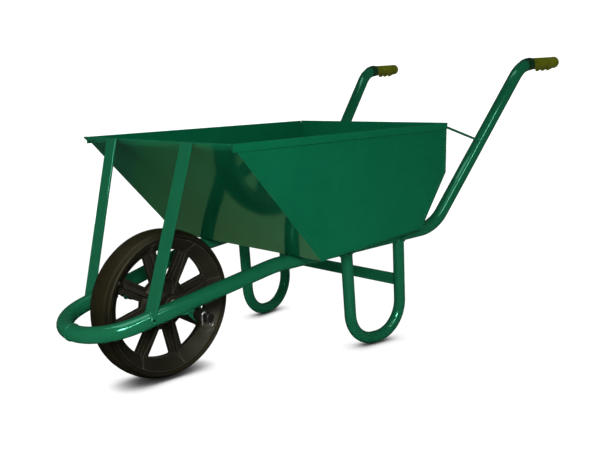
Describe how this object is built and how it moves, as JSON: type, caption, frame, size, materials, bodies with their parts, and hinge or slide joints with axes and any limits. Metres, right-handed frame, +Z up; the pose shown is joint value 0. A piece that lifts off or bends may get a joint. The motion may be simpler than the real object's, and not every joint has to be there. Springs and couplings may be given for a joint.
{
  "type": "wheelbarrow",
  "caption": "Single-wheel barrow with a folded sheet-steel tray on a welded tube frame, U-shaped tube legs, a solid spoked wheel on a fixed axle and rubber-gripped upswept handles.",
  "frame": {"origin": "on the floor, under the middle of the barrow's bounding box", "axes": "+X forward to the wheel end, +Y to the left, +Z up"},
  "size_m": [1.4753, 0.6254, 0.7405],
  "materials": {
    "green_enamel": "glossy green enamel over welded steel",
    "dark_green_enamel": "darker glossy green enamel",
    "black_steel": "dark oiled steel",
    "bright_steel": "bright wire",
    "grip_rubber": "satin olive moulded rubber",
    "tyre_rubber": "matt brown-black solid rubber",
    "wheel_moulding": "satin brown-black moulding",
    "bush_nylon": "natural nylon"
  },
  "bodies": {
    "frame": {"left_frame_tube": "green_enamel", "right_frame_tube": "green_enamel", "left_leg": "green_enamel", "right_leg": "green_enamel", "leg_cross_brace": "green_enamel", "left_front_stay": "green_enamel", "right_front_stay": "green_enamel", "left_rear_stay": "green_enamel", "right_rear_stay": "green_enamel", "left_axle_bracket": "green_enamel", "right_axle_bracket": "green_enamel", "tray_pan": "green_enamel", "left_tray_side": "green_enamel", "right_tray_side": "green_enamel", "left_handle_collar": "dark_green_enamel", "right_handle_collar": "dark_green_enamel", "axle": "black_steel", "left_axle_sleeve": "black_steel", "right_axle_sleeve": "black_steel", "left_axle_spacer": "black_steel", "right_axle_spacer": "black_steel", "split_pins": "bright_steel", "left_grip": "grip_rubber", "right_grip": "grip_rubber"},
    "wheel": {"tyre": "tyre_rubber", "wheel_centre": "wheel_moulding", "left_wheel_bush": "bush_nylon", "right_wheel_bush": "bush_nylon"}
  },
  "joints": [
    {"name": "wheel_spin", "type": "hinge", "parent": "frame", "child": "wheel", "pos_m": [0.50466, 0, 0.165], "axis": [0, 1, 0], "continuous": true}
  ]
}
